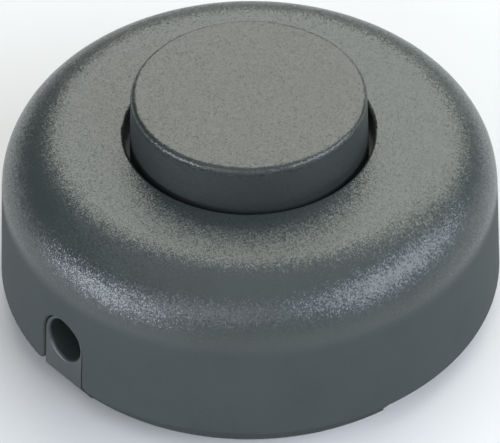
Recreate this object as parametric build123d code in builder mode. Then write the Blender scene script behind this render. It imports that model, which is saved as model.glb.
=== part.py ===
from build123d import *
import os
from math import asin, cos, degrees, radians, sin, tan

# In-line foot switch: round moulded housing, large push button, ratchet contact and screw terminals.
# Millimetres, +Z up. The origin is the centre of the base's underside, and the flex runs along X.

# Housing, seen from outside
rim_radius = 33.0
skirt_draft = 4.0
base_reveal = 3.3
cover_height = 21.8
shoulder_radius = 8.3
cover_wall = 1.8
cover_top_wall = 2.0
skirt_edge_radius = 0.35
nesting_gap = 0.2

# Push button and the hole it works in
button_hole_radius = 16.0
hole_edge_radius = 0.4
hole_sleeve_depth = 3.6
hole_sleeve_wall = 1.6
button_side_gap = 0.8
button_draft = 2.5
button_proud = 6.1
button_wall = 1.8
button_edge_radius = 0.7
button_stroke = 4.5
flange_overlap = 1.6
flange_thickness = 1.8
stop_gap = 0.1

# Base plate with its nesting lip and lever slots
floor_thickness = 2.2
lip_wall = 2.0
lip_height = 4.0
base_edge_chamfer = 0.5
standing_ring_width = 4.0
underside_recess = 0.4
lever_slot_width = 11.2
lever_slot_depth = 1.0

# Cord ways through skirt and base
cord_arch_radius = 3.63
cord_arch_rise = 5.8
arch_corner_radius = 1.2
saddle_radius = 3.4
saddle_drop = 0.7
collar_width = 12.0
collar_depth = 5.5
tongue_inset = 0.5
tongue_gap = 0.25
mouth_radius = 1.2

# Screws
screw_slot_width = 0.8
screw_slot_depth = 0.8
screw_slot_margin = 0.6
screw_play = 0.05
clearance_play = 0.25
housing_head_radius = 2.8
housing_head_height = 2.2
housing_shank_radius = 1.4
housing_shank_length = 12.0
clamp_head_radius = 2.3
clamp_head_height = 1.8
clamp_shank_radius = 1.25
clamp_shank_length = 8.0
terminal_head_radius = 2.6
terminal_head_height = 1.9
terminal_shank_radius = 1.45
terminal_shank_length = 3.4
cage_head_radius = 1.9
cage_head_height = 1.5
cage_shank_radius = 1.0
cage_shank_length = 7.6

# Screwed joints between cover and base
boss_inset = 9.0
boss_angle = 40.0
boss_radius = 3.0
pillar_radius = 4.0
pillar_height = 9.0
screw_head_depth = 5.0
pilot_spare = 1.0

# Cord clamps
clamp_inset = 11.5
clamp_spacing = 12.8
clamp_rise = 0.8
clamp_bar_width = 5.0
clamp_bar_thickness = 3.0
clamp_bar_end = 2.6
clamp_grip_depth = 1.0
clamp_pillar_radius = 2.4

# Ratchet rotor on the base's spindle
spindle_radius = 1.9
running_play = 0.08
thrust_ring_height = 0.4
axial_play = 0.05
hub_radius = 2.9
rotor_radius = 6.2
rotor_height = 4.35
crown_inner_radius = 3.2
crown_radius = 5.4
crown_teeth = 4
ramp_angle = 80.0
ramp_steps = 4
tooth_land = 8.0
valley_height = 0.4
turn_per_press = 60.0

# Plunger with its pawls
pawl_width = 1.6
pawl_angle = 10.0
pawl_gap = 0.35
plunger_socket_depth = 4.0
plunger_socket_wall = 1.6
plunger_neck_step = 0.5
key_width = 1.6
key_reach = 1.0
key_height = 5.0
key_play = 0.25

# Mechanism cage and return spring
guide_gap = 0.35
cage_tube_wall = 1.5
cage_plate_thickness = 1.5
cage_plate_height = 9.5
cage_seat_height = 6.0
cage_screw_offset = 11.0
cage_lug_radius = 2.6
cage_top_gap = 0.5
retain_gap = 0.3
spring_wire = 0.8
spring_clearance = 0.65
spring_turns = 4
spring_wire_sides = 6

# Contacts
bridge_thickness = 0.8
bridge_width = 3.2
bridge_reach = 7.8
bridge_ring_wall = 1.3
bridge_recess = 2.15
bridge_play = 0.05
blade_thickness = 0.5
blade_height = 4.0
blade_rise = 0.8
blade_tip_length = 3.0
blade_tip_flare = 0.8
blade_entry = 0.8
rivet_radius = 1.2
rivet_height = 0.6
rivet_shank_radius = 0.55
contact_gap = 0.35

# Terminals
terminal_length = 7.0
terminal_width = 6.0
terminal_height = 8.0
terminal_chamfer = 0.4
terminal_gap = 0.2
line_terminal_x = 8.0
neutral_terminal_length = 14.0
neutral_screw_x = 4.0
wire_bore_radius = 1.6
wire_bore_height = 3.0
pocket_wall = 1.2
pocket_height = 3.0
pocket_play = 0.1
blade_slot_play = 0.3

# Levels and radii that follow from the sizes above
cover_top = base_reveal + cover_height
cover_ceiling = cover_top - cover_top_wall
rim_inner_radius = rim_radius - cover_wall
draft_slope = tan(radians(skirt_draft))
sleeve_end = cover_top - hole_sleeve_depth
sleeve_radius = button_hole_radius + hole_sleeve_wall
plate_radius = rim_inner_radius - nesting_gap
lip_top = base_reveal + lip_height
arch_z = base_reveal + cord_arch_rise
saddle_z = arch_z - saddle_drop
boss_reach = rim_radius - boss_inset
boss_x = boss_reach * cos(radians(boss_angle))
boss_y = boss_reach * sin(radians(boss_angle))
clamp_x = rim_radius - clamp_inset
clamp_seat = saddle_z + clamp_rise

button_top = cover_top + button_proud
button_ceiling = button_top - button_wall
button_slope = tan(radians(button_draft))
button_radius = button_hole_radius - button_side_gap
flange_top = sleeve_end - stop_gap
flange_bottom = flange_top - flange_thickness
flange_radius = button_hole_radius + flange_overlap

rotor_bottom = floor_thickness + thrust_ring_height + axial_play
rotor_shoulder = rotor_bottom + rotor_height
rise_per_degree = button_stroke / turn_per_press
crown_base = rotor_shoulder + valley_height
crown_crest = crown_base + ramp_angle * rise_per_degree
tooth_pitch = 360 / crown_teeth
pawl_middle = ramp_angle - pawl_angle / 2 - pawl_gap / rise_per_degree / 2
pawl_radius = (crown_inner_radius + crown_radius) / 2
plunger_bottom = crown_crest + button_stroke + pawl_gap
socket_radius = crown_radius - plunger_neck_step + screw_play
socket_outer_radius = socket_radius + plunger_socket_wall
socket_bottom = button_ceiling - plunger_socket_depth

cage_bore = crown_radius + guide_gap
cage_tube_top = socket_bottom - button_stroke - cage_top_gap
cage_tube_radius = cage_bore + cage_tube_wall
cage_plate_top = cage_plate_height + cage_plate_thickness
cage_bottom = rotor_shoulder + retain_gap
spring_radius = cage_tube_radius + spring_clearance + spring_wire / 2
spring_length = button_ceiling - cage_plate_top
cage_disc_radius = spring_radius + spring_wire

bridge_top = rotor_bottom + bridge_recess
blade_x = bridge_reach + contact_gap + rivet_height + blade_thickness / 2
blade_bottom = floor_thickness + blade_rise
contact_z = bridge_top - bridge_thickness / 2
terminal_front = cage_screw_offset + cage_lug_radius + terminal_gap
terminal_y = terminal_front + terminal_width / 2

LOW = (Align.CENTER, Align.CENTER, Align.MIN)
HIGH = (Align.CENTER, Align.CENTER, Align.MAX)
MIRRORED = ((-1, "inlet"), (1, "outlet"))
SLOT = (0,)
CROSS = (0, 90)

housing_screw_places = [(side * boss_x, side * boss_y) for side in (-1, 1)]
clamp_screw_places = [(x * clamp_x, y * clamp_spacing / 2) for x in (-1, 1) for y in (-1, 1)]
cage_screw_places = [(0, side * cage_screw_offset) for side in (-1, 1)]
terminal_screw_places = [(side * line_terminal_x, terminal_y) for side in (-1, 1)]
terminal_screw_places += [(side * neutral_screw_x, -terminal_y) for side in (-1, 1)]


def upright_plane(angle):
    """Plane through the Z axis whose local x points outwards at this angle and local y is up."""
    outwards = (cos(radians(angle)), sin(radians(angle)), 0)
    return Plane((0, 0, 0), x_dir=outwards, z_dir=(outwards[1], -outwards[0], 0))


def at_height(places, z):
    return [(x, y, z) for x, y in places]


def button_side(z):
    """Radius of the button's drafted wall at this height."""
    return button_radius + (cover_top - z) * button_slope


def add_screw(head_radius, head_height, shank_radius, shank_length, slot_turns):
    """Screw with its head's seat at the current place and its shank below."""
    Cylinder(head_radius, head_height, align=LOW)
    Cylinder(shank_radius, shank_length, align=HIGH)
    slot_length = 2 * (head_radius - screw_slot_margin)
    for turn in slot_turns:
        with Locations(Location((0, 0, head_height), (0, 0, turn))):
            Box(slot_length, screw_slot_width, screw_slot_depth, align=HIGH, mode=Mode.SUBTRACT)


def ramp_section(angle, inner, outer, low, high):
    """Upright rectangle across the crown at this angle."""
    with BuildSketch(upright_plane(angle)) as section:
        with Locations((inner, low)):
            Rectangle(outer - inner, high - low, align=(Align.MIN, Align.MIN))
    return section.sketch


# Cover: drafted skirt, rounded shoulder, flat top with the button's hole, sleeve and screw bosses.
# The inside follows the rounded shoulder in two bevels.
with BuildPart() as cover:
    corner_radius = rim_radius - cover_height * draft_slope
    inner_corner_radius = rim_inner_radius - (cover_ceiling - base_reveal) * draft_slope
    inner_round = shoulder_radius - cover_wall
    inner_bevel = inner_round * (1 - cos(radians(45)))
    with BuildSketch(Plane.XZ) as cover_section:
        with BuildLine():
            Polyline(
                (button_hole_radius, cover_top),
                (corner_radius, cover_top),
                (rim_radius, base_reveal),
                (rim_inner_radius, base_reveal),
                (inner_corner_radius + inner_round * draft_slope, cover_ceiling - inner_round),
                (inner_corner_radius - inner_bevel, cover_ceiling - inner_bevel),
                (inner_corner_radius - inner_round, cover_ceiling),
                (sleeve_radius, cover_ceiling),
                (sleeve_radius, sleeve_end),
                (button_hole_radius, sleeve_end),
                close=True,
            )
        make_face()
        shoulder = cover_section.vertices().sort_by_distance((corner_radius, cover_top))[0]
        fillet(shoulder, shoulder_radius)
    revolve(axis=Axis.Z)
    with BuildSketch(Plane.YZ):
        with Locations((0, arch_z)):
            Circle(cord_arch_radius)
            Rectangle(2 * cord_arch_radius, arch_z, align=(Align.CENTER, Align.MAX))
    extrude(amount=2 * rim_radius, both=True, mode=Mode.SUBTRACT)
    arch_corners = cover.edges().filter_by(Axis.X).group_by(Axis.Z)[0]
    fillet(arch_corners, arch_corner_radius)
    skirt_face = cover.faces().filter_by(GeomType.CONE).sort_by(SortBy.AREA)[-1]
    arch_top = arch_z + cord_arch_radius
    skirt_edges = [edge for edge in skirt_face.edges() if edge.center().Z < arch_top + skirt_edge_radius]
    fillet(skirt_edges, skirt_edge_radius)
    hole_edge = cover.edges().filter_by(GeomType.CIRCLE).group_by(Axis.Z)[-1].sort_by(SortBy.RADIUS)[0]
    fillet(hole_edge, hole_edge_radius)
    with Locations(at_height(housing_screw_places, pillar_height)):
        Cylinder(boss_radius, cover_ceiling - pillar_height, align=LOW)
    pilot_depth = housing_shank_length - (pillar_height - screw_head_depth) + pilot_spare
    with Locations(at_height(housing_screw_places, pillar_height)):
        Cylinder(housing_shank_radius + screw_play, pilot_depth, align=LOW, mode=Mode.SUBTRACT)
cover.part.label = "cover"

# Base: plate and nesting lip, lever slots, cord saddles, spindle, pillars and terminal pockets
with BuildPart() as base:
    lip_top_radius = plate_radius - lip_height * draft_slope
    with BuildSketch(Plane.XZ):
        with BuildLine():
            Polyline(
                (0, 0),
                (plate_radius, 0),
                (plate_radius, base_reveal),
                (lip_top_radius, lip_top),
                (lip_top_radius - lip_wall, lip_top),
                (lip_top_radius - lip_wall, floor_thickness),
                (0, floor_thickness),
                close=True,
            )
        make_face()
    revolve(axis=Axis.Z)
    chamfer(base.edges().group_by(Axis.Z)[0], base_edge_chamfer)
    with Locations((0, 0, 0)):
        Cylinder(plate_radius - standing_ring_width, underside_recess, align=LOW, mode=Mode.SUBTRACT)
    with Locations(*[(0, side * plate_radius, 0) for side in (-1, 1)]):
        Box(lever_slot_width, 2 * lever_slot_depth, 2 * base_reveal, mode=Mode.SUBTRACT)
    collar_angle = degrees(asin(collar_width / 2 / plate_radius))
    tongue_radius = rim_radius - tongue_inset
    tongue_angle = degrees(asin((cord_arch_radius - tongue_gap) / tongue_radius))
    saddle_slope = (saddle_z - base_reveal) * draft_slope
    for turn in (0, 180):
        with BuildSketch(upright_plane(turn - collar_angle)):
            with BuildLine():
                Polyline(
                    (plate_radius - collar_depth, floor_thickness),
                    (plate_radius - lip_wall / 2, floor_thickness),
                    (plate_radius - lip_wall / 2, base_reveal),
                    (plate_radius, base_reveal),
                    (plate_radius - saddle_slope, saddle_z),
                    (plate_radius - collar_depth, saddle_z),
                    close=True,
                )
            make_face()
        revolve(axis=Axis.Z, revolution_arc=2 * collar_angle)
        with BuildSketch(upright_plane(turn - tongue_angle)):
            with BuildLine():
                Polyline(
                    (plate_radius - lip_wall, base_reveal),
                    (tongue_radius, base_reveal),
                    (tongue_radius - saddle_slope, saddle_z),
                    (plate_radius - lip_wall, saddle_z),
                    close=True,
                )
            make_face()
        revolve(axis=Axis.Z, revolution_arc=2 * tongue_angle)
        with BuildSketch(upright_plane(turn)):
            with BuildLine():
                mouth_start = tongue_radius - saddle_slope - mouth_radius
                Polyline(
                    (tongue_radius, saddle_z - saddle_radius - mouth_radius),
                    (tongue_radius, saddle_z),
                    (plate_radius - 2 * collar_depth, saddle_z),
                    (plate_radius - 2 * collar_depth, saddle_z - saddle_radius),
                    (mouth_start, saddle_z - saddle_radius),
                    (mouth_start + mouth_radius, saddle_z - saddle_radius - mouth_radius),
                    close=True,
                )
            make_face()
        revolve(axis=Axis((0, 0, saddle_z), (1, 0, 0)), mode=Mode.SUBTRACT)
    with Locations((0, 0, 0)):
        Cylinder(hub_radius, floor_thickness + thrust_ring_height, align=LOW)
        Cylinder(spindle_radius, rotor_shoulder, align=LOW)
    with Locations(at_height(housing_screw_places, 0)):
        Cylinder(pillar_radius, pillar_height, align=LOW)
    with Locations(*[Location(place, (180, 0, 0)) for place in at_height(housing_screw_places, 0)]):
        CounterBoreHole(
            housing_shank_radius + clearance_play,
            housing_head_radius + clearance_play,
            screw_head_depth,
            pillar_height,
        )
    with Locations(at_height(clamp_screw_places, floor_thickness)):
        Cylinder(clamp_pillar_radius, clamp_seat - floor_thickness, align=LOW)
    with Locations(at_height(clamp_screw_places, clamp_seat)):
        Hole(clamp_shank_radius + screw_play, clamp_seat - floor_thickness)
    with Locations(at_height(cage_screw_places, floor_thickness)):
        Cylinder(cage_lug_radius, cage_seat_height - floor_thickness, align=LOW)
    with Locations(at_height(cage_screw_places, cage_seat_height)):
        Hole(cage_shank_radius + screw_play, cage_seat_height - floor_thickness)
    pocket_places = [(side * line_terminal_x, terminal_y, terminal_length) for side in (-1, 1)]
    pocket_places += [(0, -terminal_y, neutral_terminal_length)]
    for x, y, length in pocket_places:
        with BuildSketch(Plane.XY.offset(floor_thickness)):
            with Locations((x, y)):
                Rectangle(length + 2 * pocket_wall, terminal_width + 2 * pocket_wall)
                Rectangle(length + 2 * pocket_play, terminal_width + 2 * pocket_play, mode=Mode.SUBTRACT)
        extrude(amount=pocket_height)
    with Locations(*[(side * blade_x, terminal_front, floor_thickness) for side in (-1, 1)]):
        Box(
            blade_thickness + 2 * blade_slot_play,
            2 * (pocket_wall + pocket_play),
            pocket_height,
            align=LOW,
            mode=Mode.SUBTRACT,
        )
base.part.label = "base"

# Push button: hollow cap with captive flange and the plunger's socket
with BuildPart() as push_button:
    with BuildSketch(Plane.XZ) as button_section:
        with BuildLine():
            Polyline(
                (0, button_top),
                (button_side(button_top), button_top),
                (button_side(flange_top), flange_top),
                (flange_radius, flange_top),
                (flange_radius, flange_bottom),
                (button_side(flange_bottom) - button_wall, flange_bottom),
                (button_side(button_ceiling) - button_wall, button_ceiling),
                (socket_outer_radius, button_ceiling),
                (socket_outer_radius, socket_bottom),
                (socket_radius, socket_bottom),
                (socket_radius, button_ceiling),
                (0, button_ceiling),
                close=True,
            )
        make_face()
        top_edge = button_section.vertices().sort_by_distance((button_side(button_top), button_top))[0]
        fillet(top_edge, button_edge_radius)
    revolve(axis=Axis.Z)
push_button.part.label = "push_button"

# Plunger: sleeve seated in the cap's socket, with guide keys and pawls cut to the rotor's ramp
with BuildPart() as plunger:
    with BuildSketch(Plane.XZ):
        with BuildLine():
            Polyline(
                (0, plunger_bottom),
                (crown_radius, plunger_bottom),
                (crown_radius, socket_bottom),
                (socket_radius - screw_play, socket_bottom),
                (socket_radius - screw_play, button_ceiling),
                (0, button_ceiling),
                close=True,
            )
        make_face()
    revolve(axis=Axis.Z)
    with Locations((0, 0, plunger_bottom)):
        Box(2 * (crown_radius + key_reach), key_width, key_height, align=LOW)
    for tooth in range(crown_teeth):
        pawl_ends = [
            ramp_section(
                tooth * tooth_pitch + angle,
                pawl_radius - pawl_width / 2,
                pawl_radius + pawl_width / 2,
                crown_base + angle * rise_per_degree + pawl_gap,
                plunger_bottom + pawl_width,
            )
            for angle in (pawl_middle - pawl_angle / 2, pawl_middle + pawl_angle / 2)
        ]
        loft(pawl_ends, ruled=True)
plunger.part.label = "plunger"

# Return spring: open coil between the cage's plate and the cap
with BuildPart() as return_spring:
    with BuildLine() as coil:
        Helix(
            (spring_length - spring_wire) / spring_turns,
            spring_length - spring_wire,
            spring_radius,
            center=(0, 0, cage_plate_top + spring_wire / 2),
        )
    with BuildSketch(Plane(coil.line @ 0, z_dir=coil.line % 0)):
        RegularPolygon(spring_wire / 2, spring_wire_sides)
    sweep(is_frenet=True)
return_spring.part.label = "return_spring"

# Ratchet rotor: drum with a crown of ramped teeth, and a recess below for the contact bridge
with BuildPart() as ratchet_rotor:
    with Locations((0, 0, rotor_bottom)):
        Cylinder(rotor_radius, rotor_height, align=LOW)
    with BuildSketch(Plane.XY.offset(rotor_bottom)):
        Circle(hub_radius + bridge_ring_wall + bridge_play)
        Rectangle(2 * bridge_reach, bridge_width + 2 * bridge_play)
        Circle(hub_radius, mode=Mode.SUBTRACT)
    extrude(amount=bridge_top - rotor_bottom, mode=Mode.SUBTRACT)
    ramp_angles = [step * ramp_angle / ramp_steps for step in range(ramp_steps + 1)]
    for tooth in range(crown_teeth):
        tooth_sections = [
            ramp_section(
                tooth * tooth_pitch + angle,
                crown_inner_radius,
                crown_radius,
                rotor_shoulder - valley_height,
                crown_base + min(angle, ramp_angle) * rise_per_degree,
            )
            for angle in (*ramp_angles, ramp_angle + tooth_land)
        ]
        loft(tooth_sections, ruled=True)
    with Locations((0, 0, rotor_bottom)):
        Cylinder(spindle_radius + running_play, 2 * rotor_height, align=LOW, mode=Mode.SUBTRACT)
ratchet_rotor.part.label = "ratchet_rotor"

# Contact bridge: stamped bar with a ring that clips on the rotor's hub
with BuildPart() as contact_bridge:
    with BuildSketch(Plane.XY.offset(bridge_top)):
        Rectangle(2 * (bridge_reach + bridge_width), bridge_width)
        Circle(bridge_reach, mode=Mode.INTERSECT)
        Circle(hub_radius + bridge_ring_wall)
        Circle(hub_radius + bridge_play, mode=Mode.SUBTRACT)
    extrude(amount=-bridge_thickness)
contact_bridge.part.label = "contact_bridge"

# Mechanism cage: guide tube over the crown, spring plate and two screwed legs
with BuildPart() as mechanism_cage:
    with BuildSketch(Plane.XY.offset(cage_plate_height)):
        Circle(cage_disc_radius)
        Rectangle(2 * cage_lug_radius, 2 * cage_screw_offset)
        with Locations(*cage_screw_places):
            Circle(cage_lug_radius)
    extrude(amount=cage_plate_thickness)
    with Locations((0, 0, cage_bottom)):
        Cylinder(cage_tube_radius, cage_tube_top - cage_bottom, align=LOW)
    with Locations(at_height(cage_screw_places, cage_seat_height)):
        Cylinder(cage_lug_radius, cage_plate_height - cage_seat_height, align=LOW)
    with Locations((0, 0, cage_bottom)):
        Cylinder(cage_bore, cage_tube_top - cage_bottom, align=LOW, mode=Mode.SUBTRACT)
    slot_bottom = plunger_bottom - button_stroke - key_play
    with Locations((0, 0, slot_bottom)):
        Box(
            2 * cage_disc_radius,
            key_width + 2 * key_play,
            cage_tube_top - slot_bottom,
            align=LOW,
            mode=Mode.SUBTRACT,
        )
    with Locations(at_height(cage_screw_places, cage_plate_top)):
        Hole(cage_shank_radius + clearance_play, cage_plate_top - cage_seat_height)
mechanism_cage.part.label = "mechanism_cage"

# Contact blades: sprung strips on edge, from the line terminals to the rotor, with a flared tip
blades = []
for side, end in MIRRORED:
    with BuildPart() as blade:
        with BuildSketch(Plane.XY.offset(blade_bottom)):
            with BuildLine():
                Polyline(
                    (side * (blade_x + blade_tip_flare), -2 * blade_tip_length),
                    (side * blade_x, -blade_tip_length),
                    (side * blade_x, terminal_front + blade_entry - blade_thickness),
                )
            trace(line_width=blade_thickness)
        extrude(amount=blade_height)
        with BuildSketch(Plane.YZ):
            with Locations((0, contact_z)):
                Circle(rivet_shank_radius + screw_play)
        extrude(amount=side * 2 * blade_x, mode=Mode.SUBTRACT)
    blade.part.label = "contact_blade_" + end
    blades.append(blade.part)

# Contact rivets: one in each blade, facing the bridge's end
with BuildPart() as contact_rivets:
    for side, end in MIRRORED:
        with BuildSketch(Plane.YZ.offset(side * (blade_x - blade_thickness / 2))):
            with Locations((0, contact_z)):
                Circle(rivet_radius)
        extrude(amount=-side * rivet_height)
        with BuildSketch(Plane.YZ.offset(side * (blade_x - blade_thickness / 2))):
            with Locations((0, contact_z)):
                Circle(rivet_shank_radius)
        extrude(amount=side * (blade_thickness + rivet_height / 2))
contact_rivets.part.label = "contact_rivets"

# Terminals: brass blocks in the base's pockets, bored for the wire and for the screws
terminals = []
terminal_rows = [
    ("line_terminal_" + end, side * line_terminal_x, terminal_y, terminal_length, (0,))
    for side, end in MIRRORED
]
neutral_screw_offsets = (-neutral_screw_x, neutral_screw_x)
terminal_rows += [("neutral_terminal", 0, -terminal_y, neutral_terminal_length, neutral_screw_offsets)]
for name, x, y, length, screw_offsets in terminal_rows:
    with BuildPart() as terminal:
        with Locations((x, y, floor_thickness)):
            Box(length, terminal_width, terminal_height, align=LOW)
        chamfer(terminal.edges().filter_by(Axis.Z), terminal_chamfer)
        with BuildSketch(Plane.YZ):
            with Locations((y, floor_thickness + wire_bore_height)):
                Circle(wire_bore_radius)
        extrude(amount=2 * (abs(x) + length), both=True, mode=Mode.SUBTRACT)
        with Locations(*[(x + offset, y, floor_thickness + terminal_height) for offset in screw_offsets]):
            Hole(terminal_shank_radius + screw_play, terminal_height - wire_bore_height)
        if y > 0:
            with Locations((blade_x * x / abs(x), terminal_front, blade_bottom - screw_play)):
                Box(
                    blade_thickness + 2 * screw_play,
                    2 * blade_entry,
                    blade_height + 2 * screw_play,
                    align=LOW,
                    mode=Mode.SUBTRACT,
                )
    terminal.part.label = name
    terminals.append(terminal.part)

# Cord clamps: ribbed bars across the flex, on the base's clamp pillars
clamps = []
for side, end in MIRRORED:
    with BuildPart() as clamp:
        with BuildSketch(Plane.XY.offset(clamp_seat)):
            with Locations((side * clamp_x, 0)):
                SlotOverall(clamp_spacing + 2 * clamp_bar_end, clamp_bar_width, rotation=90)
        extrude(amount=clamp_bar_thickness)
        with BuildSketch(Plane.YZ):
            with Locations((0, clamp_seat)):
                Rectangle(2 * saddle_radius, 2 * clamp_grip_depth)
        extrude(amount=2 * side * clamp_x, mode=Mode.SUBTRACT)
        with BuildSketch(Plane.YZ.offset(side * clamp_x)):
            with Locations((0, clamp_seat + clamp_grip_depth)):
                Rectangle(2 * saddle_radius, clamp_grip_depth)
        extrude(amount=clamp_grip_depth / 2, both=True)
        own_places = [place for place in clamp_screw_places if place[0] * side > 0]
        with Locations(at_height(own_places, clamp_seat + clamp_bar_thickness)):
            Hole(clamp_shank_radius + clearance_play, clamp_bar_thickness)
    clamp.part.label = "cord_clamp_" + end
    clamps.append(clamp.part)

# Screws, each kind as one group
with BuildPart() as housing_screws:
    seats = at_height(housing_screw_places, screw_head_depth)
    with Locations(*[Location(seat, (180, 0, 0)) for seat in seats]):
        add_screw(housing_head_radius, housing_head_height, housing_shank_radius, housing_shank_length, CROSS)
housing_screws.part.label = "housing_screws"

with BuildPart() as clamp_screws:
    with Locations(at_height(clamp_screw_places, clamp_seat + clamp_bar_thickness)):
        add_screw(clamp_head_radius, clamp_head_height, clamp_shank_radius, clamp_shank_length, CROSS)
clamp_screws.part.label = "clamp_screws"

with BuildPart() as terminal_screws:
    with Locations(at_height(terminal_screw_places, floor_thickness + terminal_height)):
        add_screw(
            terminal_head_radius,
            terminal_head_height,
            terminal_shank_radius,
            terminal_shank_length,
            SLOT,
        )
terminal_screws.part.label = "terminal_screws"

with BuildPart() as cage_screws:
    with Locations(at_height(cage_screw_places, cage_plate_top)):
        add_screw(cage_head_radius, cage_head_height, cage_shank_radius, cage_shank_length, CROSS)
cage_screws.part.label = "cage_screws"

os.makedirs("parts", exist_ok=True)
pieces = [cover.part, base.part, push_button.part, plunger.part, return_spring.part, ratchet_rotor.part]
pieces += [contact_bridge.part, mechanism_cage.part, contact_rivets.part, *blades, *terminals, *clamps]
pieces += [housing_screws.part, clamp_screws.part, terminal_screws.part, cage_screws.part]
for piece in pieces:
    export_step(piece, f"parts/{piece.label}.step")
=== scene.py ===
import math

import bmesh
import bpy
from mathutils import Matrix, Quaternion, Vector


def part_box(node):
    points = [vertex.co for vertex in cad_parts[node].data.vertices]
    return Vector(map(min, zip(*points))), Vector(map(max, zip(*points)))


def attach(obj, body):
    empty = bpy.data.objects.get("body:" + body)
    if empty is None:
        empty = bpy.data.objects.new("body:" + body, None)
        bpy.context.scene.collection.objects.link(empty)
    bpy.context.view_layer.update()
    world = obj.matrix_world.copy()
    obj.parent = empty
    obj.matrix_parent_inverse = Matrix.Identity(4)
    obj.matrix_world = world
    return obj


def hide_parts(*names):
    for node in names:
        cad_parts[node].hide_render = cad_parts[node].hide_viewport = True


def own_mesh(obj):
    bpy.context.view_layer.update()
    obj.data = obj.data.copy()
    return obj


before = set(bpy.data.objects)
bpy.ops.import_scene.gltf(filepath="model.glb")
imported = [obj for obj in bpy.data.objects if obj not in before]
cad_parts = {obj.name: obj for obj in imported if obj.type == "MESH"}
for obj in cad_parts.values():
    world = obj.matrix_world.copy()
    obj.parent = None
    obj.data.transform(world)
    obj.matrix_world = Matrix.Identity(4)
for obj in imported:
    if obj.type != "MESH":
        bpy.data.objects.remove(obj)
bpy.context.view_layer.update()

# Base: one injection moulding in black ABS. It is a flat plate with a nesting lip, screw pillars and terminal
# pockets, and it closes the housing from below. Its tool was milled and finely eroded.
MM = 0.001


def linear(hex_colour):
    """An sRGB hex colour as the linear RGBA that a shader takes."""
    channels = [int(hex_colour[i:i + 2], 16) / 255 for i in (1, 3, 5)]
    return [c / 12.92 if c <= 0.04045 else ((c + 0.055) / 1.055) ** 2.4 for c in channels] + [1.0]


def add_node(tree, kind, inputs=None, **settings):
    """Adds one shader node with its settings. An input is a plain value or the output socket that feeds it."""
    node = tree.nodes.new(kind)
    for name, value in settings.items():
        setattr(node, name, value)
    for name, value in (inputs or {}).items():
        if isinstance(value, bpy.types.NodeSocket):
            tree.links.new(value, node.inputs[name])
        else:
            node.inputs[name].default_value = value
    return node


def new_material(name):
    """An empty node material, its tree and the object coordinates that its patterns are laid out on."""
    material = bpy.data.materials.new(name)
    material.use_nodes = True
    tree = material.node_tree
    tree.nodes.clear()
    place = add_node(tree, "ShaderNodeTexCoord").outputs["Object"]
    return material, tree, place


def two_tones(tree, value, dark, light, low, high):
    """Colour that goes from the dark tone to the light one as the value goes from low to high."""
    ramp = add_node(tree, "ShaderNodeValToRGB", {"Fac": value})
    for element, position, tone in zip(ramp.color_ramp.elements, (low, high), (dark, light)):
        element.position = position
        element.color = linear(tone)
    return ramp.outputs["Color"]


def finish_material(tree, shader):
    add_node(tree, "ShaderNodeOutputMaterial", {"Surface": shader.outputs["BSDF"]})


def paint(material, *nodes):
    """Gives the material to these CAD nodes."""
    for node in nodes:
        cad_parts[node].material_slots[0].material = material


def moulded_abs(name, dark, light, grain_from, grain_full, smooth_share, drawn_gloss=0.90):
    """Black ABS from a spark-eroded tool: a dull, finely pitted skin whose pits catch the light one by one.
    The pits run out between two heights, because a pitted wall with little draft would not leave the tool."""
    pit_size = 0.13 * MM
    pit_slope = 0.32
    cloud_size = 7.0 * MM
    pitted_gloss = 0.29
    abs_ior = 1.57
    material, tree, place = new_material(name)
    height = add_node(tree, "ShaderNodeSeparateXYZ", {"Vector": place}).outputs["Z"]
    grain = add_node(
        tree, "ShaderNodeMapRange",
        {"Value": height, "From Min": grain_from, "From Max": grain_full, "To Min": smooth_share, "To Max": 1.0},
        interpolation_type="SMOOTHSTEP",
    ).outputs["Result"]
    # the real craters are about half this size, and are drawn coarser so that they show
    craters = add_node(tree, "ShaderNodeTexVoronoi", {"Vector": place, "Scale": 1 / pit_size})
    clouds = add_node(tree, "ShaderNodeTexNoise", {"Vector": place, "Scale": 1 / cloud_size, "Detail": 2.0})
    shade = add_node(
        tree, "ShaderNodeMath", {0: craters.outputs["Distance"], 1: clouds.outputs["Fac"]}, operation="ADD"
    ).outputs["Value"]
    colour = two_tones(tree, shade, dark, light, 0.70, 1.30)
    tilt = add_node(
        tree, "ShaderNodeVectorMath", {0: craters.outputs["Color"], 1: (0.5, 0.5, 0.5)}, operation="SUBTRACT"
    ).outputs["Vector"]
    slope = add_node(tree, "ShaderNodeMath", {0: grain, 1: pit_slope}, operation="MULTIPLY").outputs["Value"]
    tilt = add_node(tree, "ShaderNodeVectorMath", {0: tilt, "Scale": slope}, operation="SCALE").outputs["Vector"]
    face = add_node(tree, "ShaderNodeNewGeometry").outputs["Normal"]
    tilted = add_node(tree, "ShaderNodeVectorMath", {0: face, 1: tilt}, operation="ADD").outputs["Vector"]
    normal = add_node(tree, "ShaderNodeVectorMath", {0: tilted}, operation="NORMALIZE").outputs["Vector"]
    gloss = add_node(
        tree, "ShaderNodeMapRange",
        {"Value": grain, "From Min": smooth_share, "From Max": 1.0, "To Min": drawn_gloss, "To Max": pitted_gloss},
    ).outputs["Result"]
    shader = add_node(tree, "ShaderNodeBsdfPrincipled", {
        "Base Color": colour, "Roughness": gloss, "IOR": abs_ior, "Normal": normal,
    })
    finish_material(tree, shader)
    return material


BLACK_DARK, BLACK_LIGHT = "#2d3333", "#343b3a"
base_low, base_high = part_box("base")
fine_eroded_abs = moulded_abs(
    "black_abs_fine_eroded", BLACK_DARK, BLACK_LIGHT, grain_from=base_low.z, grain_full=base_high.z,
    smooth_share=0.3)
paint(fine_eroded_abs, "base")

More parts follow.
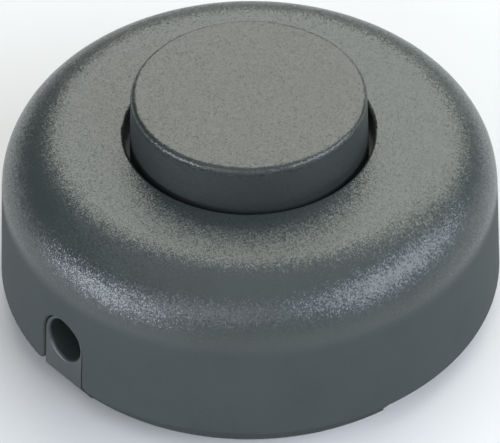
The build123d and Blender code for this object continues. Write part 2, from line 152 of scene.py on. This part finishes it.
# Cord collars: the part of the base that fills each cord arch of the cover, flush with its skirt. Each has a
# round eye with a rolled lip for the flex. They are moulded with the base and left smooth from the tool.
arch_z = 9.1 * MM
collar_radius = 3.43 * MM
collar_back = 27.0 * MM
collar_face = 32.62 * MM
collar_tilt = math.radians(5.2)
rim_z = 3.3 * MM
foot_x, foot_z = 30.95 * MM, 0.45 * MM
eye_radius = 2.9 * MM
lip_radius = 0.45 * MM
corner_radius = 0.12 * MM
round_sides = 64
eye_depth = 20 * MM
near = 0.001 * MM
SOFT_EDGE = math.radians(35)


def pick(test):
    """Selects, in edit mode, the vertices whose place passes the test, with the edges and faces between them."""
    bpy.ops.mesh.select_all(action="DESELECT")
    mesh = bmesh.from_edit_mesh(bpy.context.object.data)
    for vertex in mesh.verts:
        vertex.select = bool(test(vertex.co))
    mesh.select_flush_mode()
    bmesh.update_edit_mesh(bpy.context.object.data)


def drag(x, y, z):
    return {"value": (x, y, z)}


def cut_away(piece, cutter):
    """Takes the cutter's shape out of the piece and removes the cutter."""
    boolean = piece.modifiers.new("cut", "BOOLEAN")
    boolean.operation = "DIFFERENCE"
    boolean.solver = "EXACT"
    boolean.object = cutter
    bpy.ops.object.select_all(action="DESELECT")
    piece.select_set(True)
    bpy.context.view_layer.objects.active = piece
    bpy.ops.object.modifier_apply(modifier="cut")
    bpy.data.objects.remove(cutter)


bpy.ops.object.select_all(action="DESELECT")
bpy.ops.mesh.primitive_cylinder_add(
    vertices=round_sides, radius=collar_radius, depth=collar_face - collar_back,
    rotation=(0, math.radians(90), 0), location=((collar_face + collar_back) / 2, 0, arch_z),
)
collar = bpy.context.object
collar.name = "cord_collar_outlet"
bpy.ops.object.transform_apply(location=True, rotation=True, scale=True)
bpy.ops.object.mode_set(mode="EDIT")
bpy.ops.mesh.select_all(action="SELECT")
bpy.ops.mesh.bisect(plane_co=(0, 0, arch_z), plane_no=(0, 0, 1), clear_inner=True)
pick(lambda place: place.z < arch_z + near)
bpy.ops.mesh.extrude_region_move(TRANSFORM_OT_translate=drag(0, 0, rim_z - arch_z))
bpy.ops.mesh.extrude_region_move(TRANSFORM_OT_translate=drag(0, 0, foot_z - rim_z))
bpy.ops.mesh.edge_face_add()
pick(lambda place: place.z < foot_z + near and place.x > collar_face - near)
bpy.ops.transform.translate(value=(foot_x - collar_face, 0, 0))
pick(lambda place: place.z > rim_z - near and place.x > collar_face - near)
bpy.ops.transform.rotate(value=collar_tilt, orient_axis="Y", center_override=(collar_face, 0, rim_z))
bpy.ops.mesh.select_all(action="SELECT")
bpy.ops.mesh.dissolve_limited(angle_limit=math.radians(1))
bpy.ops.mesh.normals_make_consistent(inside=False)
bpy.ops.object.mode_set(mode="OBJECT")
bpy.ops.mesh.primitive_cylinder_add(
    vertices=round_sides, radius=eye_radius, depth=eye_depth, rotation=(0, math.radians(90), 0),
    location=(collar_face, 0, arch_z),
)
cut_away(collar, bpy.context.object)
bpy.ops.object.mode_set(mode="EDIT")
eye_axis = Vector((0, 0, arch_z))
on_the_eye = 0.02 * MM
pick(lambda place: place.x > collar_face - 2 * lip_radius
     and abs((place - eye_axis).yz.length - eye_radius) < on_the_eye)
bpy.ops.mesh.bevel(offset=lip_radius, segments=6, profile=0.5, affect="EDGES")
bpy.ops.object.mode_set(mode="OBJECT")
bevel = collar.modifiers.new("edge", "BEVEL")
bevel.width, bevel.segments, bevel.limit_method = corner_radius, 2, "ANGLE"
bpy.ops.object.modifier_apply(modifier="edge")
bpy.ops.object.shade_smooth_by_angle(angle=SOFT_EDGE)
smooth_abs = moulded_abs(
    "black_abs_smooth", BLACK_DARK, BLACK_LIGHT, grain_from=base_high.z, grain_full=2 * base_high.z,
    smooth_share=0.05, drawn_gloss=0.38)
collar.data.materials.clear()
collar.data.materials.append(smooth_abs)
bpy.ops.object.duplicate()
inlet_collar = bpy.context.object
inlet_collar.name = "cord_collar_inlet"
inlet_collar.rotation_euler = (0, 0, math.pi)
bpy.ops.object.transform_apply(rotation=True)
for piece in (collar, inlet_collar):
    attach(piece, "housing")

# Contact blades: spring bronze strip, rolled hard, cut and bent, and pressed into the line terminals.
# The rolling leaves fine lines along the strip, and handling dulls it in patches.


def bare_metal(name, dark, light, gloss, line_width, stretch):
    """Metal with no coat: two tones of tarnish, and worked lines that break up the gloss. The stretch lays the
    lines along one axis, and the lines are drawn wider than the real ones so that they show."""
    patch_size = 4.0 * MM
    material, tree, place = new_material(name)
    along = add_node(tree, "ShaderNodeMapping", {"Vector": place, "Scale": stretch}).outputs["Vector"]
    lines = add_node(
        tree, "ShaderNodeTexNoise", {"Vector": along, "Scale": 1 / line_width, "Detail": 3.0}).outputs["Fac"]
    patches = add_node(
        tree, "ShaderNodeTexNoise", {"Vector": place, "Scale": 1 / patch_size, "Detail": 2.0}).outputs["Fac"]
    dull = add_node(
        tree, "ShaderNodeMapRange",
        {"Value": lines, "From Min": 0.3, "From Max": 0.7, "To Min": gloss[0], "To Max": gloss[1]},
    ).outputs["Result"]
    relief = add_node(
        tree, "ShaderNodeBump", {"Height": lines, "Strength": 0.15, "Distance": 0.02 * MM}).outputs["Normal"]
    shader = add_node(tree, "ShaderNodeBsdfPrincipled", {
        "Base Color": two_tones(tree, patches, dark, light, 0.35, 0.65), "Metallic": 1.0, "Roughness": dull,
        "Normal": relief,
    })
    finish_material(tree, shader)
    return material


rolled_bronze = bare_metal(
    "rolled_spring_bronze", "#a87848", "#c99a68", gloss=(0.25, 0.42), line_width=0.12 * MM, stretch=(1, 0.08, 1))
paint(rolled_bronze, "contact_blade_inlet", "contact_blade_outlet")

# Contact rivets: silver, cold-headed into the blades. The silver is bright and a little tarnished in patches.
EVEN = (1, 1, 1)
headed_silver = bare_metal(
    "headed_silver", "#b9b6ae", "#e6e4de", gloss=(0.15, 0.30), line_width=0.25 * MM, stretch=EVEN)
paint(headed_silver, "contact_rivets")

# Terminals: blocks sawn from drawn brass bar and bored for the wire and the screws. The saw leaves lines across.
sawn_brass = bare_metal(
    "sawn_brass", "#a8853c", "#d3b062", gloss=(0.28, 0.48), line_width=0.15 * MM, stretch=(0.06, 1, 1))
paint(sawn_brass, "line_terminal_inlet", "line_terminal_outlet", "neutral_terminal")

# Terminal screws: turned steel with a cheese head and a straight slot, zinc plated. The plating is a soft
# bluish grey with a faint bloom.
zinc_steel = bare_metal(
    "zinc_plated_steel", "#9fa4ab", "#c6cace", gloss=(0.25, 0.45), line_width=0.3 * MM, stretch=EVEN)


def turned_screw(head_radius, head_height, shank_radius, shank_length, pitch, recess_turns):
    """One screw with its seat at the origin and its head up: domed head, driver recess, core and rolled thread."""
    thread_depth = 0.18 * shank_radius
    core_radius = shank_radius - thread_depth
    dome = 0.55 * head_height
    tip = shank_radius
    recess_length, recess_width, recess_depth = 1.4 * head_radius, 0.8 * MM, 0.6 * head_height
    recess_taper = 0.6
    point_taper = 0.3
    head_sides, thread_steps = 40, 20
    bpy.ops.object.select_all(action="DESELECT")
    bpy.ops.mesh.primitive_cylinder_add(
        vertices=head_sides, radius=head_radius, depth=head_height, location=(0, 0, head_height / 2))
    screw = bpy.context.object
    bpy.ops.object.transform_apply(location=True)
    bpy.ops.object.mode_set(mode="EDIT")
    pick(lambda place: place.z > head_height - near)
    bpy.ops.mesh.bevel(offset=dome, segments=5, profile=0.5, affect="EDGES")
    pick(lambda place: place.z < near)
    bpy.ops.mesh.inset(thickness=head_radius - core_radius)
    bpy.ops.mesh.extrude_region_move(TRANSFORM_OT_translate=drag(0, 0, tip - shank_length))
    bpy.ops.mesh.extrude_region_move(TRANSFORM_OT_translate=drag(0, 0, -tip))
    bpy.ops.transform.resize(value=(point_taper, point_taper, 1), center_override=(0, 0, -shank_length))
    bpy.ops.object.mode_set(mode="OBJECT")
    for turn in recess_turns:
        bpy.ops.mesh.primitive_cube_add(size=1, location=(0, 0, head_height), rotation=(0, 0, math.radians(turn)))
        cutter = bpy.context.object
        cutter.scale = (recess_length, recess_width, 2 * recess_depth)
        bpy.ops.object.transform_apply(location=True, rotation=True, scale=True)
        bpy.ops.object.mode_set(mode="EDIT")
        pick(lambda place: place.z < head_height)
        bpy.ops.transform.resize(
            value=(recess_taper, recess_taper, 1), center_override=(0, 0, head_height - recess_depth))
        bpy.ops.object.mode_set(mode="OBJECT")
        cut_away(screw, cutter)
    thread_bottom = tip - shank_length
    turns = int((shank_length - tip - pitch) / pitch)
    bpy.ops.mesh.primitive_circle_add(
        vertices=3, radius=1.3 * thread_depth, fill_type="NOTHING", rotation=(math.radians(90), 0, 0),
        location=(core_radius + 0.2 * thread_depth, 0, thread_bottom))
    thread = bpy.context.object
    bpy.ops.object.transform_apply(location=True, rotation=True)
    helix = thread.modifiers.new("helix", "SCREW")
    helix.axis, helix.angle, helix.screw_offset, helix.iterations = "Z", 2 * math.pi, pitch, turns
    helix.steps, helix.render_steps, helix.use_smooth_shade = thread_steps, thread_steps, False
    bpy.ops.object.modifier_apply(modifier="helix")
    bpy.ops.object.mode_set(mode="EDIT")
    bpy.ops.mesh.select_all(action="SELECT")
    bpy.ops.mesh.fill_holes(sides=3)
    bpy.ops.mesh.select_all(action="SELECT")
    bpy.ops.mesh.normals_make_consistent(inside=False)
    bpy.ops.object.mode_set(mode="OBJECT")
    screw.select_set(True)
    bpy.context.view_layer.objects.active = screw
    bpy.ops.object.join()
    bpy.ops.object.shade_smooth_by_angle(angle=SOFT_EDGE)
    return screw


def screw_group(node, screw, places, flip):
    """Copies the screw to each place, joins the copies and lets them stand for the CAD node of that kind."""
    copies = []
    for place in places:
        bpy.ops.object.select_all(action="DESELECT")
        screw.select_set(True)
        bpy.context.view_layer.objects.active = screw
        bpy.ops.object.duplicate()
        copy = bpy.context.object
        copy.location = [size * MM for size in place]
        copy.rotation_euler = (flip, 0, 0)
        bpy.ops.object.transform_apply(location=True, rotation=True)
        copies.append(copy)
    bpy.data.objects.remove(screw)
    for copy in copies:
        copy.select_set(True)
    bpy.context.view_layer.objects.active = copies[0]
    bpy.ops.object.join()
    group = bpy.context.object
    group.name = "turned_" + node
    group.data.materials.clear()
    group.data.materials.append(zinc_steel)
    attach(group, "housing")
    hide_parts(node)


HEAD_UP, HEAD_DOWN = 0.0, math.pi
STRAIGHT, CROSS = (0,), (0, 90)
terminal_seat = 10.2
terminal_places = [(8.0, 16.8), (-8.0, 16.8), (4.0, -16.8), (-4.0, -16.8)]
terminal_screw = turned_screw(
    head_radius=2.6 * MM, head_height=1.9 * MM, shank_radius=1.45 * MM, shank_length=3.4 * MM, pitch=0.5 * MM,
    recess_turns=STRAIGHT)
screw_group("terminal_screws", terminal_screw, [(x, y, terminal_seat) for x, y in terminal_places], HEAD_UP)

# Ratchet rotor: the crown that the button turns step by step, moulded in natural acetal and left unfinished.
# Acetal is milky, a little glossy and faintly mottled by its flow.
flow_size = 3.0 * MM
natural_acetal, tree, place = new_material("natural_acetal_moulded")
flow = add_node(tree, "ShaderNodeTexNoise", {"Vector": place, "Scale": 1 / flow_size, "Detail": 3.0}).outputs["Fac"]
acetal_gloss = add_node(
    tree, "ShaderNodeMapRange",
    {"Value": flow, "From Min": 0.3, "From Max": 0.7, "To Min": 0.32, "To Max": 0.44}).outputs["Result"]
finish_material(tree, add_node(tree, "ShaderNodeBsdfPrincipled", {
    "Base Color": two_tones(tree, flow, "#ded9ca", "#e9e5d8", 0.35, 0.65), "Roughness": acetal_gloss, "IOR": 1.48,
}))
paint(natural_acetal, "ratchet_rotor")

# Contact bridge: a bar stamped from brass strip that clips under the rotor. The stamping leaves the strip's
# rolled face along the bar.
stamped_brass = bare_metal(
    "stamped_brass", "#b08d42", "#d8b768", gloss=(0.22, 0.40), line_width=0.12 * MM, stretch=(0.08, 1, 1))
paint(stamped_brass, "contact_bridge")

# Mechanism cage: guide tube, spring plate and two legs in one black ABS moulding, screwed to the base over the
# rotor. It is hidden, so its tool was left as milled.
cage_low, cage_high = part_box("mechanism_cage")
as_milled_abs = moulded_abs(
    "black_abs_as_milled", BLACK_DARK, BLACK_LIGHT, grain_from=cage_low.z, grain_full=cage_high.z, smooth_share=0.6)
paint(as_milled_abs, "mechanism_cage")
cage_seat, cage_screw_y = 11.0, 11.0
cage_screw = turned_screw(
    head_radius=1.9 * MM, head_height=1.5 * MM, shank_radius=1.0 * MM, shank_length=7.6 * MM, pitch=0.8 * MM,
    recess_turns=CROSS)
screw_group("cage_screws", cage_screw, [(0, side * cage_screw_y, cage_seat) for side in (-1, 1)], HEAD_UP)

# Return spring: cold-drawn round steel wire coiled with one dead turn at each end. It stands on the cage's
# plate and carries the button.
wire_radius = 0.4 * MM
wire_sides = 10
coil_radius = 8.3 * MM
spring_low, spring_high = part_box("return_spring")
dead_turns, live_turns = 1, 4
steps_per_turn = 24
dead_pitch = 2.15 * wire_radius
spring_height = spring_high.z - spring_low.z - 2 * wire_radius
live_pitch = (spring_height - 2 * dead_turns * dead_pitch) / live_turns
bpy.ops.object.select_all(action="DESELECT")
bpy.ops.mesh.primitive_circle_add(
    vertices=wire_sides, radius=wire_radius, fill_type="NGON", rotation=(math.radians(90), 0, 0),
    location=(coil_radius, 0, spring_low.z + wire_radius))
spring = bpy.context.object
spring.name = "coiled_return_spring"
bpy.ops.object.transform_apply(location=True, rotation=True)
bpy.ops.object.mode_set(mode="EDIT")
bpy.ops.mesh.select_all(action="SELECT")
for pitch, turns in ((dead_pitch, dead_turns), (live_pitch, live_turns), (dead_pitch, dead_turns)):
    for step in range(turns * steps_per_turn):
        bpy.ops.mesh.extrude_region_move(TRANSFORM_OT_translate=drag(0, 0, pitch / steps_per_turn))
        bpy.ops.transform.rotate(
            value=2 * math.pi / steps_per_turn, orient_axis="Z", center_override=(0, 0, 0))
bpy.ops.mesh.select_all(action="SELECT")
bpy.ops.mesh.normals_make_consistent(inside=False)
bpy.ops.object.mode_set(mode="OBJECT")
bpy.ops.object.shade_smooth_by_angle(angle=math.radians(50))
drawn_wire = bare_metal(
    "drawn_spring_wire", "#6d6e72", "#97989b", gloss=(0.25, 0.40), line_width=0.2 * MM, stretch=EVEN)
spring.data.materials.append(drawn_wire)
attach(spring, "housing")
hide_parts("return_spring")
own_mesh(spring)

# Plunger: the sleeve with four pawls that the button pushes down on the rotor's crown. It is moulded in the same
# natural acetal as the rotor, because the pair runs dry.
paint(natural_acetal, "plunger")

# Push button: a hollow cap moulded in the same black ABS. Its two tones are painted darker than the cover's,
# as painted shade that keeps the cap's side dark. Its top is spark-eroded like the cover's, and its drafted
# side is drawn smooth. The plunger is pressed into a socket under it.
cap_low, cap_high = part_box("push_button")
cap_edge = 0.9 * MM
eroded_cap_abs_painted_shade = moulded_abs(
    "black_abs_eroded_cap_painted_shade", "#272b2a", "#2e3231", grain_from=cap_high.z - 2 * cap_edge,
    grain_full=cap_high.z - cap_edge / 2, smooth_share=0.35, drawn_gloss=0.45)
paint(eroded_cap_abs_painted_shade, "push_button")

# Cover: the round shell that takes the foot's load, moulded in black ABS. Top and shoulder are spark-eroded
# and the tall drafted skirt below the shoulder is smooth.
cover_low, cover_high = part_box("cover")
shoulder_end = cover_high.z - 9.5 * MM
shoulder_full = cover_high.z - 6.5 * MM
eroded_shell_abs = moulded_abs(
    "black_abs_eroded_shell", "#2e3434", "#353c3b", grain_from=shoulder_end, grain_full=shoulder_full,
    smooth_share=0.05)
paint(eroded_shell_abs, "cover")

# Cord clamps: ribbed bars in black ABS that two screws each pull down on the flex. They are hidden and plain.
paint(smooth_abs, "cord_clamp_inlet", "cord_clamp_outlet")
clamp_seat, clamp_x, clamp_y = 12.2, 21.5, 6.4
clamp_screw = turned_screw(
    head_radius=2.3 * MM, head_height=1.8 * MM, shank_radius=1.25 * MM, shank_length=8.0 * MM, pitch=0.9 * MM,
    recess_turns=CROSS)
screw_group(
    "clamp_screws", clamp_screw,
    [(end * clamp_x, side * clamp_y, clamp_seat) for end in (-1, 1) for side in (-1, 1)], HEAD_UP)

# Housing screws: two self-tapping pan-head screws, driven from below through the base into the cover's bosses.
housing_seat = 5.0
boss_x, boss_y = 18.385, 15.427
housing_screw = turned_screw(
    head_radius=2.8 * MM, head_height=2.2 * MM, shank_radius=1.4 * MM, shank_length=12.0 * MM, pitch=1.1 * MM,
    recess_turns=CROSS)
screw_group(
    "housing_screws", housing_screw, [(end * boss_x, end * boss_y, housing_seat) for end in (-1, 1)], HEAD_DOWN)

# Studio: a plain pale table and soft boxes behind, above, at the right, low at the left and in front.
# The box behind lights the flat tops, and those at the sides draw the two highlights along the shoulder.
bpy.ops.object.select_all(action="DESELECT")
floor_radius = 3.0
bpy.ops.mesh.primitive_circle_add(vertices=round_sides, radius=floor_radius, fill_type="NGON", location=(0, 0, 0))
floor = bpy.context.object
floor.name = "studio_floor"
floor_paint, tree, place = new_material("matt_white_table")
finish_material(tree, add_node(tree, "ShaderNodeBsdfDiffuse", {"Color": linear("#e0e0df")}))
floor.data.materials.append(floor_paint)


def direction(azimuth, elevation):
    """Unit vector towards a place round the object. Azimuth 0 is in front, at -Y, and 90 is at +X."""
    a, e = math.radians(azimuth), math.radians(elevation)
    return Vector((math.sin(a) * math.cos(e), -math.cos(a) * math.cos(e), math.sin(e)))


def soft_box(name, azimuth, elevation, distance, width, height, radiance, colour):
    """A rectangular lamp that faces the object. Its radiance is 1 where it looks as bright as a white card."""
    lamp = bpy.data.lights.new(name, "AREA")
    lamp.shape = "RECTANGLE"
    lamp.size, lamp.size_y = width, height
    lamp.energy = radiance * math.pi * width * height
    lamp.color = linear(colour)[:3]
    box = bpy.data.objects.new(name, lamp)
    bpy.context.scene.collection.objects.link(box)
    towards = direction(azimuth, elevation)
    box.location = towards * distance
    box.rotation_mode = "QUATERNION"
    box.rotation_quaternion = towards.to_track_quat("Z", "Y")


view_azimuth, view_elevation = -42.9, 42.37
soft_box("back_box", view_azimuth + 164, elevation=42, distance=0.9, width=1.05, height=0.60, radiance=3.8,
         colour="#fbfcf3")
soft_box("top_box", view_azimuth - 34, elevation=82, distance=0.85, width=1.15, height=1.15, radiance=0.8,
         colour="#f8fbff")
soft_box("right_box", view_azimuth + 65, elevation=29, distance=0.8, width=0.95, height=0.36, radiance=6.6,
         colour="#eaf2ff")
soft_box("left_box", view_azimuth - 62, elevation=7, distance=0.8, width=0.62, height=0.18, radiance=12.5,
         colour="#e8effc")
soft_box("front_box", view_azimuth - 18, elevation=27, distance=0.9, width=0.95, height=0.34, radiance=3.0,
         colour="#f1f4fa")
room_light = 0.06
world = bpy.data.worlds.new("studio_room")
world.use_nodes = True
world.node_tree.nodes.clear()
room = add_node(world.node_tree, "ShaderNodeBackground", {"Color": linear("#f0f2f4"), "Strength": room_light})
add_node(world.node_tree, "ShaderNodeOutputWorld", {"Surface": room.outputs["Background"]})
bpy.context.scene.world = world
bpy.context.scene.view_settings.view_transform = "Standard"

# Camera: a long lens, 0.36 m off, looking down at the front of the inlet side
camera_distance = 0.3644
camera_target = Vector((0, 0, 9.15 * MM))
camera_roll = -0.524
lens = bpy.data.cameras.new("product_camera")
lens.sensor_width = 36.0
lens.lens = 199.7
lens.clip_start, lens.clip_end = 0.01, 20.0
camera = bpy.data.objects.new("product_camera", lens)
bpy.context.scene.collection.objects.link(camera)
towards = direction(view_azimuth, view_elevation)
camera.location = camera_target + towards * camera_distance
camera.rotation_mode = "QUATERNION"
camera.rotation_quaternion = (-towards).to_track_quat("-Z", "Y") @ Quaternion((0, 0, 1), math.radians(camera_roll))
bpy.context.scene.camera = camera
